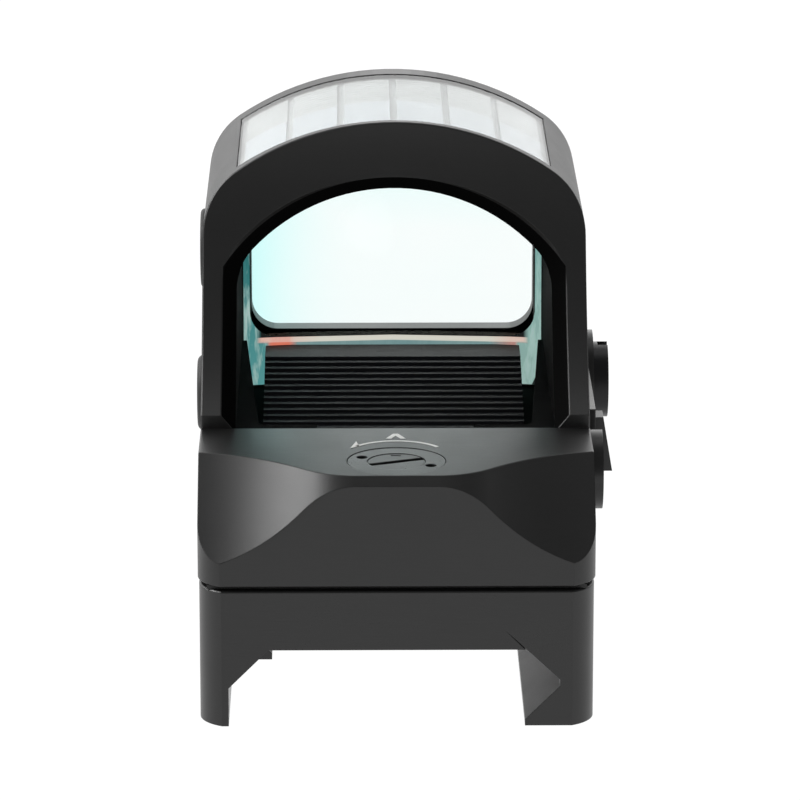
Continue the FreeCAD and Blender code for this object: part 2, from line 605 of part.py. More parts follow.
def make_ramp():
    steps = []
    for index in range(int(value("ramp_steps"))):
        start = f"ramp_rear + {index} * ramp_run"
        top = f"trough_floor + ramp_first + {index + 1} * ramp_rise"
        steps.append(block(f"ramp_step_{index}", ("-ramp_half", "ramp_half"), (start, "ramp_front"),
                           ("trough_floor", top)))
    under = block("board_room", ("-8.6", "8.6"), ("8.8", "17"), ("trough_floor - 1", "trough_floor + 1.5"))
    cut_back = doc.addObject("Part::Sphere", "ramp_end")
    cut_back.setExpression("Radius", formula("lens_curve"))
    place(cut_back, "0", "lens_rear_y - 0.1 - lens_curve", "lens_axis_z")
    keep(common("ramp_trimmed", cut("ramp_solid", fuse("ramp_blank", *steps), under), cut_back), "ramp_insert")
    board = block("board_plate", ("-8.4", "8.4"), ("9", "16.8"), ("trough_floor + 0.02", "trough_floor + 0.62"))
    chip = block("board_chip", ("-2", "2"), ("11", "15"), ("trough_floor + 0.6", "trough_floor + 1.3"))
    keep(fuse("board_solid", board, chip), "main_board")


# ---- elevation and windage ----

def dial(name, axis, head_radius, shaft_radius, face, flange, shaft_end, at, flange_radius):
    """A slotted screw with a shoulder that its ring holds down."""
    low, high = flange
    head = rod(name + "_head", axis, head_radius, (low, face), at)
    shoulder = rod(name + "_shoulder", axis, flange_radius, (low, high), at)
    shaft = rod(name + "_shaft", axis, shaft_radius, (shaft_end, high), at)
    return fuse(name + "_turned", head, shoulder, shaft)


def make_elevation():
    at = ("0", "dial_y")
    turned = dial("elevation", "z", "dial_head_radius", "dial_shaft_radius", "deck_top - 0.06",
                  ("9.75", "dial_ring_bottom - 0.03"), "5", at, "2.75")
    slot = block("elevation_slot", ("-dial_head_radius", "dial_head_radius"),
                 ("-dial_slot / 2", "dial_slot / 2"), ("-0.06 - dial_slot_depth", "1"))
    slot = turned_about(slot, "dial_turn", "0", "dial_y", "deck_top")
    keep(cut("elevation_screw_cut", turned, slot), "elevation_screw")
    band = ring("elevation_band", "z", "dial_ring_radius", "dial_head_radius + dial_fit",
                ("dial_ring_bottom", "deck_top - 0.03"), at)
    holes = [rod(f"spanner_hole_{index}", "z", "spanner_hole_radius", ("deck_top - 0.7", "deck_top"),
                 (side + "spanner_hole_x", f"dial_y {end} spanner_hole_y"))
             for index, (side, end) in enumerate((("-", "+"), ("", "-")))]
    keep(cut("elevation_ring_cut", band, *holes), "elevation_ring")
    keep(ring("elevation_seal_ring", "z", "2.7", "dial_shaft_radius + 0.08", ("9.42", "9.72"), at), "elevation_seal")
    nut = block("carriage_nut", ("-carriage_half", "carriage_half"), ("-20.6", "-15.4"), ("carriage_low", "carriage_high"))
    arm = block("carriage_arm", ("-carriage_half", "carriage_half"), ("-15.6", "-8.8"), ("carriage_low", "carriage_high - 0.4"))
    plate = block("carriage_plate", ("-7.3", "7.3"), ("-9.4", "-8.7"), ("carriage_low - 0.8", "9.8"))
    thread = rod("carriage_thread", "z", "dial_shaft_radius + 0.04", ("4", "9"), at)
    keep(cut("carriage_solid", fuse("carriage_blank", nut, arm, plate), thread), "elevation_carriage")


def make_windage():
    at = ("windage_y", "windage_z")
    face = "body_half + windage_proud - 0.05"
    turned = dial("windage", "x", "windage_head_radius", "windage_shaft_radius", face,
                  ("12.75", "13.3"), "-2.6", at, "2.35")
    slot = block("windage_slot", (face + " - dial_slot_depth", face + " + 1"),
                 ("windage_y - dial_slot / 2", "windage_y + dial_slot / 2"), ("windage_z - 2", "windage_z + 2"))
    keep(cut("windage_screw_cut", turned, slot), "windage_screw")
    keep(ring("windage_ring_cut", "x", "windage_ring_radius", "windage_head_radius + dial_fit",
              ("13.4", "body_half + windage_proud"), at), "windage_ring")
    keep(ring("windage_seal_ring", "x", "2.3", "windage_shaft_radius + 0.08", ("12.62", "12.73"), at), "windage_seal")
    holder = block("holder_block", ("-3.2", "3.2"), ("-8.65", "-4.6"), ("5.5", "9.5"))
    slit = block("holder_slit", ("-4", "4"), ("windage_y - windage_shaft_radius - 0.05", "windage_y + windage_shaft_radius + 0.05"),
                 ("windage_z - 1.6", "windage_z + 1.6"))
    keep(cut("holder_solid", holder, slit), "emitter_holder")
    keep(block("led_chip_block", ("-0.6", "0.6"), ("-4.58", "-4.2"), ("7.4", "8.6")), "led_chip")
    keep(cut("emitter_cap_solid", block("cap_block", ("-1.5", "1.5"), ("-4.58", "-3.2"), ("6.4", "9.4")),
             block("cap_room", ("-0.75", "0.75"), ("-5", "-3.8"), ("7.2", "8.8")),
             rod("cap_hole", "y", "0.5", ("-4", "-3"), ("0", "8"))), "emitter_cap")


# ---- battery and tray ----

def make_battery_tray():
    low_y, high_y = "battery_y - tray_half", "battery_y + tray_half"
    drawer = block("tray_drawer", ("tray_inner", "body_half + 0.1"), (low_y, high_y), ("tray_low", "tray_high"))
    well = rod("tray_well", "z", "battery_radius + 0.1", ("tray_floor", "tray_high + 1"), ("battery_x", "battery_y"))
    window = block("tray_window", ("tray_inner - 1", "8"), ("battery_y - 4", "battery_y + 4"), ("tray_low - 1", "tray_floor + 0.1"))
    flange = block("tray_flange", ("body_half + 0.05", "body_half + flange_thick"),
                   ("battery_y - flange_half", "battery_y + flange_half"), ("flange_low", "flange_high"))
    boss = rod("tray_boss", "x", "boss_radius", ("body_half + 0.05", "body_half + boss_proud"), ("lock_y", "lock_z"))
    lug = doc.addObject("Part::Wedge", "tray_lug")
    for prop, text in (("Xmin", "0"), ("Xmax", "lug_proud"), ("X2min", "0"), ("X2max", "lug_proud - 0.7"),
                       ("Ymin", "0"), ("Ymax", "4.2"), ("Zmin", "0"), ("Zmax", "2.6"),
                       ("Z2min", "0.3"), ("Z2max", "2.3")):
        lug.setExpression(prop, formula(text))
    place(lug, "body_half + 0.05", "lug_y + 1.3", "lock_z - 3.2", rotation=Rotation(Vector(1, 0, 0), 90))
    hole = rod("tray_lock_hole", "x", "lock_shaft_radius + 0.05", ("body_half - 1", "body_half + 5"), ("lock_y", "lock_z"))
    head_well = rod("tray_lock_well", "x", "lock_head_radius + 0.05", ("body_half + 0.5", "body_half + 5"), ("lock_y", "lock_z"))
    solid = fuse("tray_solid", drawer, flange, boss, lug)
    keep(cut("tray_cut", solid, well, window, hole, head_well), "battery_tray")
    keep(rod("battery_disc", "z", "battery_radius", ("tray_floor", "tray_floor + battery_thick"),
             ("battery_x", "battery_y")), "battery_cell")
    seal_outer = block("seal_outer", ("13.4", "14.1"), (low_y + " - 0.14", high_y + " + 0.14"),
                       ("tray_low - 0.04", "tray_high + 0.04"))
    seal_inner = block("seal_inner", ("13", "15"), (low_y, high_y), ("tray_low", "tray_high"))
    keep(cut("tray_seal_cut", seal_outer, seal_inner), "tray_seal")
    face = "body_half + lock_proud"
    at = ("lock_y", "lock_z")
    head = rod("lock_head", "x", "lock_head_radius", ("body_half + 0.52", face), at)
    shaft = rod("lock_shaft", "x", "lock_shaft_radius", ("body_half - 2.4", "body_half + 1"), at)
    coin = block("lock_coin_slot", (face + " - 0.8", face + " + 1"), ("lock_y - 0.55", "lock_y + 0.55"),
                 ("lock_z - 4", "lock_z + 4"))
    keep(cut("lock_cut", fuse("lock_solid", head, shaft), coin), "tray_lock_screw")


def make_cover():
    plate = block("cover_plate", ("-10.4", "10.4"), ("-9.3", "18.8"), ("body_bottom", "body_bottom + cover_thick"))
    spots = [("-9.6", "-8"), ("9.6", "-8"), ("-9.4", "17.4")]
    holes = [rod(f"cover_hole_{index}", "z", "0.62", ("3", "4"), spot) for index, spot in enumerate(spots)]
    keep(cut("cover_cut", plate, *holes), "bottom_cover")
    group("cover_screws", [rod(f"cover_screw_{index}", "z", "0.52", ("body_bottom", "body_bottom + 2.2"), spot)
                           for index, spot in enumerate(spots)])
    leaf = block("contact_leaf", ("-4", "5"), ("battery_y - 1.5", "battery_y + 1.5"),
                 ("body_bottom + cover_thick", "body_bottom + cover_thick + 0.12"))
    tongue = block("contact_tongue", ("3.6", "5"), ("battery_y - 1.5", "battery_y + 1.5"),
                   ("body_bottom + cover_thick", "tray_floor - 0.02"))
    keep(fuse("contact_solid", leaf, tongue), "battery_contact")


# ---- buttons ----

def make_buttons():
    pads = []
    switches = []
    for node, start in (("button_minus", "minus"), ("button_plus", "plus")):
        at = (f"{start}_y", f"{start}_z")
        inner = "-button_floor - flex_thick - switch_thick - button_gap"
        cap = rod(node + "_cap", "x", f"{start}_radius", (f"-body_half - {start}_proud", inner), at)
        rounded = doc.addObject("Part::Fillet", node + "_rounded")
        rounded.Base = cap
        doc.recompute()
        rim = [index for index, edge in enumerate(cap.Shape.Edges, 1)
               if edge.Closed and edge.BoundBox.XMax < -value("body_half")]
        bend = value(f"{start}_proud") * 0.7
        rounded.Edges = [(index, bend, bend) for index in rim]
        keep(rounded, node)
        switches.append(rod(start + "_dome", "x", "2", ("-button_floor - flex_thick - switch_thick",
                                                        "-button_floor - flex_thick"), at))
        pads.append(rod(start + "_pad", "x", "2.6", ("-button_floor - flex_thick", "-button_floor"), at))
    strip = block("flex_strip", ("-button_floor - flex_thick", "-button_floor"), ("7.8", "10.7"), ("minus_z", "plus_z"))
    keep(fuse("flex_solid", strip, *pads), "button_flex")
    group("switch_domes", switches)


make_rail_mount()
make_clamp()
make_mount_fasteners()
make_housing()
make_solar_panel()
make_lens()
make_ramp()
make_elevation()
make_windage()
make_battery_tray()
make_cover()
make_buttons()
doc.recompute()

for item in doc.Objects:
    if "Invalid" in item.State or "Error" in item.State:
        raise RuntimeError(f"{item.Name} failed: {item.State}")
for node, piece in nodes.items():
    if piece.Shape.isNull() or not piece.Shape.isValid():
        raise RuntimeError(f"{node} is not a valid solid")

os.makedirs("parts", exist_ok=True)
for node, piece in nodes.items():
    piece.Shape.exportStep(f"parts/{node}.step")
    print(f"{node}: {piece.Shape.Volume:.2f} mm3, {len(piece.Shape.Solids)} solid(s)")
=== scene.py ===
import math

import bpy
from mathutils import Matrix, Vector


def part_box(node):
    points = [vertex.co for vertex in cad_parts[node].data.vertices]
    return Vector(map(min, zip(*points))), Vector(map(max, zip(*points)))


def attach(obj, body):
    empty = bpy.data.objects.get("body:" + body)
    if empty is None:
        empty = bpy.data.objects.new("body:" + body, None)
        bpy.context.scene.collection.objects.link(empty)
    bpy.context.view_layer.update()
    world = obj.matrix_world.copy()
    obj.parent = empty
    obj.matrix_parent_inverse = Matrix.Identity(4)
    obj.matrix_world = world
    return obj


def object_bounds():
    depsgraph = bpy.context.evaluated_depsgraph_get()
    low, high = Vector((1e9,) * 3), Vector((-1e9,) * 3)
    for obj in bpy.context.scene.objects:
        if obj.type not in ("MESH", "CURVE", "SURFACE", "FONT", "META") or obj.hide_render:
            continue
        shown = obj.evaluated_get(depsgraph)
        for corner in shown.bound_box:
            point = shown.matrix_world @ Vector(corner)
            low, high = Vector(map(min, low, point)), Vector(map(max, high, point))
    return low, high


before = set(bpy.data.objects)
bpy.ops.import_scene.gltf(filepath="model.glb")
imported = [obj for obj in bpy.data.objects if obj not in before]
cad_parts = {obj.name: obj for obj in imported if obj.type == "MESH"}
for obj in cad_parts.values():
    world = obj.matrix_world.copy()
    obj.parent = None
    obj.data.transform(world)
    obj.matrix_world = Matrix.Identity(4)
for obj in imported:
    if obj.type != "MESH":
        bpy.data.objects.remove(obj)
CAD_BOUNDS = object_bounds()
MM = 0.001

# Heights and depths that the pieces below share, in millimetres.
DECK_TOP = 11.48
LENS_CURVE = 60.0
LENS_BACK = 19.2
LENS_AXIS = 18.8
WINDOW_HALF = 11.4
WINDOW_SILL = 11.5
TUNNEL = {"half": 13.0, "arc": 16.5, "middle": 11.75, "rear": -9.2, "front": 20.8}

bl_info = {
    "name": "Red Dot Finder Finishes",
    "version": (1, 0, 0),
    "blender": (4, 5, 0),
    "location": "View3D > Sidebar > Finder",
    "description": "Finishes and small details of an open reflex red dot finder",
    "category": "Add Mesh",
}


# ---- node tree helpers ----

class Shader:
    """A small builder of one material's node tree."""

    def __init__(self, name, **surface):
        """surface holds the surface shader's inputs, with _ for each space in their names."""
        self.material = bpy.data.materials.new(name)
        self.material.use_nodes = True
        self.tree = self.material.node_tree
        self.surface = self.tree.nodes["Principled BSDF"]
        for socket, amount in surface.items():
            self.surface.inputs[socket.replace("_", " ")].default_value = amount
        self.place = self.add("ShaderNodeTexCoord").outputs["Object"]

    def add(self, kind, inputs=None, **settings):
        node = self.tree.nodes.new(kind)
        for name, choice in settings.items():
            setattr(node, name, choice)
        for socket, amount in (inputs or {}).items():
            self.feed(node.inputs[socket], amount)
        return node

    def feed(self, socket, amount):
        if isinstance(amount, bpy.types.NodeSocket):
            self.tree.links.new(amount, socket)
        else:
            socket.default_value = amount

    def stretched(self, scale):
        return self.add("ShaderNodeMapping", {"Vector": self.place, "Scale": scale}).outputs["Vector"]

    def noise(self, size_mm, stretch=(1, 1, 1), detail=3.0, roughness=0.6):
        """Noise whose grains are about size_mm across, drawn out along an axis by stretch."""
        scale = [1 / (size_mm * MM * part) for part in stretch]
        return self.add("ShaderNodeTexNoise", {"Vector": self.stretched(scale), "Scale": 1.0,
                                               "Detail": detail, "Roughness": roughness}).outputs["Fac"]

    def math(self, operation, *values, clamp=False):
        node = self.add("ShaderNodeMath", operation=operation, use_clamp=clamp)
        for socket, amount in zip(node.inputs, values):
            self.feed(socket, amount)
        return node.outputs[0]

    def band(self, amount, low, high, start=0.0, end=1.0):
        """amount mapped from low..high to start..end."""
        node = self.add("ShaderNodeMapRange", {"Value": amount, "From Min": low, "From Max": high,
                                               "To Min": start, "To Max": end})
        return node.outputs["Result"]

    def mix(self, amount, first, second):
        node = self.add("ShaderNodeMix", data_type="RGBA")
        self.feed(node.inputs["Factor"], amount)
        self.feed(node.inputs[6], first)
        self.feed(node.inputs[7], second)
        return node.outputs[2]

    def axis(self, name):
        return self.add("ShaderNodeSeparateXYZ", {"Vector": self.place}).outputs[name]

    def inside_tunnel(self, half, arc, middle, rear, front):
        """1 inside an arched tunnel along Y, in millimetres, and 0 outside it."""
        across, along, up = (self.axis(axis) for axis in "XYZ")
        side = self.band(self.math("ABSOLUTE", across), half * MM, (half + 0.06) * MM, 1.0, 0.0)
        up = self.math("SUBTRACT", up, middle * MM)
        reach = self.math("SQRT", self.math("ADD", self.math("MULTIPLY", across, across),
                                            self.math("MULTIPLY", up, up)))
        arch = self.math("MAXIMUM", self.band(reach, arc * MM, (arc + 0.06) * MM, 1.0, 0.0),
                         self.math("LESS_THAN", up, 0.0))
        depth = self.math("MULTIPLY", self.band(along, (rear - 0.02) * MM, rear * MM),
                          self.band(along, front * MM, (front + 0.02) * MM, 1.0, 0.0))
        return self.math("MULTIPLY", side, self.math("MULTIPLY", arch, depth))

    def bump(self, height, strength, distance_mm, edge_mm):
        """Relief distance_mm deep, on edges that are softened over edge_mm."""
        edge = self.add("ShaderNodeBevel", {"Radius": edge_mm * MM}, samples=6).outputs["Normal"]
        relief = self.add("ShaderNodeBump", {"Height": height, "Strength": strength,
                                             "Distance": distance_mm * MM, "Normal": edge})
        self.feed(self.surface.inputs["Normal"], relief.outputs["Normal"])


def grey(level):
    return (level, level, level, 1)


# ---- finishes ----

def anodised(name, level, rough, grain=0.6, brush=0.5, shaded_tunnel=None):
    """Hard anodised aluminium: machined flats keep fine lines, blasted curves keep a sandy grain.

    The last argument holds the sizes of a tunnel inside which the metal is matt and painted dead black, a
    painted shade."""
    shade = Shader(name, Base_Color=grey(level))
    normal = shade.add("ShaderNodeNewGeometry").outputs["True Normal"]
    facing = shade.add("ShaderNodeSeparateXYZ", {"Vector": normal})
    steep = [shade.math("ABSOLUTE", facing.outputs[axis]) for axis in "XYZ"]
    flat = shade.math("MAXIMUM", steep[0], shade.math("MAXIMUM", steep[1], steep[2]))
    flat = shade.band(flat, 0.985, 0.999)
    lines = shade.noise(0.05, stretch=(60, 14, 1), detail=2.0)
    sand = shade.noise(0.10, detail=2.0, roughness=0.8)
    cloud = shade.noise(5.0, detail=3.0)
    height = shade.math("ADD", shade.math("MULTIPLY", lines, shade.math("MULTIPLY", flat, brush)),
                        shade.math("MULTIPLY", sand, shade.band(flat, 0, 1, grain, grain * 0.2)))
    tint = shade.math("ADD", shade.math("MULTIPLY", lines, 0.25), shade.math("MULTIPLY", sand, 0.35))
    tone = shade.mix(shade.band(tint, 0.15, 0.45), grey(level * 0.75), grey(level * 1.3))
    spread = shade.math("ADD", shade.band(cloud, 0.3, 0.7, rough - 0.02, rough + 0.02),
                        shade.math("MULTIPLY", shade.math("SUBTRACT", sand, 0.5), 0.12))
    spread = shade.math("SUBTRACT", spread, shade.math("MULTIPLY", flat, 0.08))
    if shaded_tunnel:
        inside = shade.inside_tunnel(**shaded_tunnel)
        # Painted shade: inside the tunnel the metal's colour is darkened to a quarter of its level.
        tone = shade.mix(inside, tone, grey(level * 0.25))
        spread = shade.math("ADD", spread, shade.math("MULTIPLY", inside, 0.4), clamp=True)
        shade.feed(shade.surface.inputs["Specular IOR Level"], shade.band(inside, 0, 1, 0.5, 0.03))
    shade.feed(shade.surface.inputs["Base Color"], tone)
    shade.feed(shade.surface.inputs["Roughness"], spread)
    shade.bump(height, 0.5, 0.02, edge_mm=0.1)
    return shade.material


def plain(name, colour, rough, grain_mm=0.2, depth=0.01, **surface):
    """A simple moulded or machined finish with its own fine grain."""
    shade = Shader(name, Base_Color=(*colour, 1), Roughness=rough, **surface)
    grain = shade.noise(grain_mm)
    dark = [part * 0.8 for part in colour]
    light = [min(1.0, part * 1.15) for part in colour]
    shade.feed(shade.surface.inputs["Base Color"], shade.mix(grain, (*dark, 1), (*light, 1)))
    spread = shade.band(grain, 0.3, 0.7, rough - 0.05, rough + 0.05)
    shade.feed(shade.surface.inputs["Roughness"], spread)
    shade.bump(grain, 0.4, depth, edge_mm=0.06)
    return shade.material


def lens_glass(name, edge, middle):
    """Clear glass tinted more towards the left and the top, where the tint is a painted reflection."""
    shade = Shader(name, Base_Color=middle, Roughness=0.0, Transmission_Weight=1.0, IOR=1.45)
    across, up = shade.axis("X"), shade.axis("Z")
    left = shade.band(across, -11 * MM, -1 * MM, 1.0, 0.0)
    top = shade.band(up, 20 * MM, 29 * MM, 0.0, 0.7)
    ripple = shade.band(shade.noise(9.0, detail=1.0), 0.3, 0.7, -0.06, 0.06)
    # Painted reflection: towards the left and the top the glass takes on the edge colour.
    painted_reflection = shade.math("MAXIMUM", shade.math("POWER", left, 2.2), top)
    tint = shade.math("ADD", painted_reflection, ripple, clamp=True)
    shade.feed(shade.surface.inputs["Base Color"], shade.mix(tint, middle, edge))
    return shade.material


def clear_glass(name):
    """Cover glass with a coating that cuts its glare."""
    shade = Shader(name, Base_Color=(0.92, 0.95, 0.95, 1), Roughness=0.06, Transmission_Weight=1.0,
                   IOR=1.15)
    shade.feed(shade.surface.inputs["Roughness"], shade.band(shade.noise(2.0), 0.3, 0.7, 0.04, 0.1))
    return shade.material


def solar_film(name):
    """Grey cells, paler and bluer along their near half, crossed by fine silver fingers."""
    shade = Shader(name, Base_Color=(0.25, 0.27, 0.28, 1), Roughness=0.25, Metallic=0.2)
    low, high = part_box("solar_cells")
    along = shade.band(shade.axis("Y"), low[1], high[1])
    wave = shade.add("ShaderNodeTexWave", {"Vector": shade.place, "Scale": 0.4 / MM, "Distortion": 0.0},
                     wave_type="BANDS", bands_direction="Y", wave_profile="SIN")
    fingers = shade.math("MULTIPLY", shade.math("GREATER_THAN", wave.outputs["Fac"], 0.9), 0.35)
    far = shade.mix(shade.noise(1.5), (0.14, 0.145, 0.135, 1), (0.20, 0.205, 0.195, 1))
    near = shade.mix(shade.noise(1.5), (0.26, 0.29, 0.33, 1), (0.32, 0.35, 0.39, 1))
    cell = shade.mix(shade.band(along, 0.46, 0.5), near, far)
    shade.feed(shade.surface.inputs["Base Color"], shade.mix(fingers, cell, (0.5, 0.52, 0.5, 1)))
    return shade.material


def rim_glass_painted_glow(name):
    """The lens's ground and coated rim: teal at the sides, cream and coral under the window.

    A painted glow in its own colours stands for the light that the glass carries to its rim."""
    shade = Shader(name, Base_Color=(0.1, 0.4, 0.38, 1), Roughness=0.25)
    across, up = shade.axis("X"), shade.axis("Z")
    side = shade.math("ABSOLUTE", across)
    left = shade.band(across, -11.5 * MM, 11.5 * MM, 0.0, 1.0)
    lowness = shade.band(up, 8 * MM, 20 * MM, 1.0, 0.0)
    dark_teal = shade.mix(lowness, (0.02, 0.16, 0.16, 1), (0.10, 0.36, 0.36, 1))
    pale_teal = shade.mix(lowness, (0.22, 0.45, 0.42, 1), (0.34, 0.52, 0.47, 1))
    teal = shade.mix(left, dark_teal, pale_teal)
    streak = shade.noise(0.5, stretch=(1, 1, 6), detail=3.0)
    teal = shade.mix(shade.band(streak, 0.45, 0.7), teal, (0.45, 0.65, 0.6, 1))
    sill = shade.mix(shade.noise(2.5), (0.16, 0.30, 0.31, 1), (0.26, 0.40, 0.39, 1))
    coral = shade.math("MULTIPLY", shade.band(across, -8.3 * MM, -7.6 * MM, 1.0, 0.0),
                       shade.band(across, -10.8 * MM, -9.6 * MM, 0.0, 1.0))
    right_coral = shade.math("MULTIPLY", shade.band(across, 7.8 * MM, 9.5 * MM), 0.5)
    blush = shade.math("MAXIMUM", coral, right_coral)
    beside_ramp = shade.math("MULTIPLY", shade.band(side, 9.8 * MM, 10.1 * MM),
                             shade.band(up, (WINDOW_SILL - 0.57) * MM, (WINDOW_SILL - 0.37) * MM, 1.0, 0.0))
    sill = shade.mix(blush, sill, (0.85, 0.22, 0.14, 1))
    warm = shade.math("MAXIMUM", blush, shade.band(left, 0.25, 0.0))
    cream = shade.mix(warm, (0.80, 0.78, 0.68, 1), (0.88, 0.48, 0.40, 1))
    above_sill = shade.band(up, (WINDOW_SILL - 0.51) * MM, (WINDOW_SILL - 0.45) * MM)
    edge_line = shade.band(up, (WINDOW_SILL - 0.09) * MM, (WINDOW_SILL - 0.05) * MM)
    under = shade.mix(above_sill, sill, cream)
    under = shade.mix(edge_line, under, (0.01, 0.012, 0.012, 1))
    at_side = shade.math("MAXIMUM", beside_ramp, shade.band(side, 10.5 * MM, 10.9 * MM))
    colour = shade.mix(at_side, under, teal)
    shade.feed(shade.surface.inputs["Base Color"], colour)
    # Painted glow: the rim gives off light in its own colours, though it is no lamp.
    shade.feed(shade.surface.inputs["Emission Color"], colour)
    shade.surface.inputs["Emission Strength"].default_value = 0.75
    shade.feed(shade.surface.inputs["Roughness"], shade.band(streak, 0.3, 0.7, 0.2, 0.35))
    return shade.material


# ---- meshes ----

def new_piece(name, points, faces, material, body, slot):
    """A finished piece in millimetre coordinates, riding on a body."""
    mesh = bpy.data.meshes.new(name)
    mesh.from_pydata([[part * MM for part in point] for point in points], [], faces)
    mesh.materials.append(material)
    piece = bpy.data.objects.new(name, mesh)
    bpy.context.scene.collection.objects.link(piece)
    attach(piece, body)
    return piece


def slab(outline, low, high):
    """Points and faces of a flat plate with an outline seen from above, turning left."""
    count = len(outline)
    points = [(x, y, low) for x, y in outline] + [(x, y, high) for x, y in outline]
    faces = [tuple(range(count, 2 * count)), tuple(reversed(range(count)))]
    faces += [(i, (i + 1) % count, count + (i + 1) % count, count + i) for i in range(count)]
    return points, faces


def join_shapes(*shapes):
    """Several shapes' points and faces as those of one mesh."""
    points, faces = [], []
    for more_points, more_faces in shapes:
        faces += [tuple(number + len(points) for number in face) for face in more_faces]
        points += more_points
    return points, faces


def lens_back(x, z, lift):
    """Depth of the lens's rear face at a place, lift millimetres towards the observer."""
    return LENS_BACK - LENS_CURVE + math.sqrt(LENS_CURVE ** 2 - x ** 2 - (z - LENS_AXIS) ** 2) - lift


def paint_nodes(material, *nodes):
    """Give CAD nodes a material all over."""
    for name in nodes:
        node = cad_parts[name]
        if not node.material_slots:
            node.data.materials.append(material)
        for slot in node.material_slots:
            slot.material = material


class FINDER_OT_housing(bpy.types.Operator):
    """Finish the housing and the rail mount"""
    bl_idname = "finder.housing"
    bl_label = "Housing and Mount"

    def execute(self, context):
        looks = context.scene.finder_looks
        black = anodised("Housing anodise", looks.housing_level, looks.housing_rough, shaded_tunnel=TUNNEL)
        paint_nodes(black, "housing")
        brushed = anodised("Mount anodise", looks.mount_level, looks.mount_rough, grain=0.25, brush=0.8)
        paint_nodes(brushed, "rail_mount", "clamp_jaw")
        paint_nodes(anodised("Tray anodise", looks.mount_level, looks.mount_rough, grain=0.3),
                    "battery_tray")
        paint_nodes(anodised("Dial anodise", looks.dial_level, looks.mount_rough, grain=0.3),
                    "elevation_screw", "elevation_ring", "windage_screw", "windage_ring")
        return {"FINISHED"}


class FINDER_OT_optics(bpy.types.Operator):
    """Finish the lens and the solar strip"""
    bl_idname = "finder.optics"
    bl_label = "Lens and Solar Strip"

    def execute(self, context):
        looks = context.scene.finder_looks
        coated = lens_glass("Coated glass", (*looks.lens_reflection_tint, 1), (*looks.lens_middle, 1))
        paint_nodes(coated, "lens")
        paint_nodes(clear_glass("Solar cover glass"), "solar_glass")
        paint_nodes(solar_film("Solar film"), "solar_cells")
        paint_nodes(plain("Lens bond", (0.02, 0.02, 0.02), 0.6), "lens_bond", "emitter_cap")
        paint_nodes(plain("Board", (0.30, 0.31, 0.30), 0.5), "solar_carrier")
        return {"FINISHED"}


class FINDER_OT_lens_rim(bpy.types.Operator):
    """Add the lens's coated rim, which shows round the clear window with a painted glow"""
    bl_idname = "finder.lens_rim"
    bl_label = "Lens Rim"

    def execute(self, context):
        half, top, corner_radius, lift = 11.9, 21.5, 2.1, 0.03
        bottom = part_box("lens")[0][2] / MM + 0.05
        rows, lower = 7, 8
        centre = WINDOW_HALF - corner_radius
        corner = [(centre + corner_radius * math.sin(turn),
                   WINDOW_SILL + corner_radius - corner_radius * math.cos(turn))
                  for turn in (math.radians(angle) for angle in range(0, 91, 6))]
        inner = [(0.0, WINDOW_SILL)] + corner + [(WINDOW_HALF, top)]
        # The corner's first points fan out to the foot of the rim, and the rest to its side.
        outer = [(0.0, bottom)] + [(x * half / WINDOW_HALF, bottom) for x, _ in corner[:lower]]
        upper = len(corner) - lower
        outer += [(half, bottom + (top - bottom) * index / (upper + 1)) for index in range(1, upper + 1)]
        outer += [(half, top)]
        points, faces = [], []
        for flip in (1, -1):
            base = len(points)
            for (near_x, near_z), (far_x, far_z) in zip(inner, outer):
                for row in range(rows + 1):
                    share = row / rows
                    x = flip * (near_x + (far_x - near_x) * share)
                    z = near_z + (far_z - near_z) * share
                    points.append((x, lens_back(x, z, lift), z))
            for column in range(len(inner) - 1):
                for row in range(rows):
                    first = base + column * (rows + 1) + row
                    face = (first, first + rows + 1, first + rows + 2, first + 1)
                    faces.append(face if flip < 0 else face[::-1])
        new_piece("lens_rim", points, faces, rim_glass_painted_glow("Coated rim painted glow"), "chassis", "coated_glass")
        return {"FINISHED"}


class FINDER_OT_marks(bpy.types.Operator):
    """Add the printed arrow and chevron beyond the elevation dial, and the dial's own mark"""
    bl_idname = "finder.marks"
    bl_label = "Dial Marks"

    def execute(self, context):
        low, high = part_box("elevation_ring")
        middle_y = (low[1] + high[1]) / 2 / MM
        print_low, print_high = DECK_TOP + 0.004, DECK_TOP + 0.02
        tick_low, tick_high = high[2] / MM - 0.04, high[2] / MM - 0.02
        radius, width, centre = 3.7, 0.3, middle_y + 1.64
        turns = [math.radians(angle) for angle in range(34, 145, 3)]
        band = [((radius + side) * math.cos(turn), centre + (radius + side) * math.sin(turn))
                for side, order in ((width / 2, turns), (-width / 2, turns[::-1])) for turn in order]
        arrow = slab(band, print_low, print_high)
        head = slab([(-3.4, middle_y + 3.35), (-2.72, middle_y + 3.95), (-2.94, middle_y + 5.3)],
                    print_low, print_high)
        chevron = slab([(-0.75, middle_y + 5.95), (-0.35, middle_y + 5.95), (0.0, middle_y + 6.75),
                        (0.35, middle_y + 5.95), (0.75, middle_y + 5.95), (0.2, middle_y + 7.3),
                        (-0.2, middle_y + 7.3)], print_low, print_high)
        ink = plain("White print", (0.80, 0.80, 0.78), 0.5, grain_mm=0.15, depth=0.004)
        new_piece("turn_arrow", *join_shapes(arrow, head), ink, "chassis", "housing_black")
        new_piece("up_chevron", *chevron, ink, "chassis", "housing_black")
        tick = slab([(-0.4, middle_y + 1.55), (0.35, middle_y + 1.5), (0.35, middle_y + 1.75),
                     (-0.4, middle_y + 1.8)], tick_low, tick_high)
        dark = plain("Dark print", (0.006, 0.006, 0.006), 0.7)
        new_piece("dial_tick", *tick, dark, "elevation_dial", "dial_black")
        return {"FINISHED"}


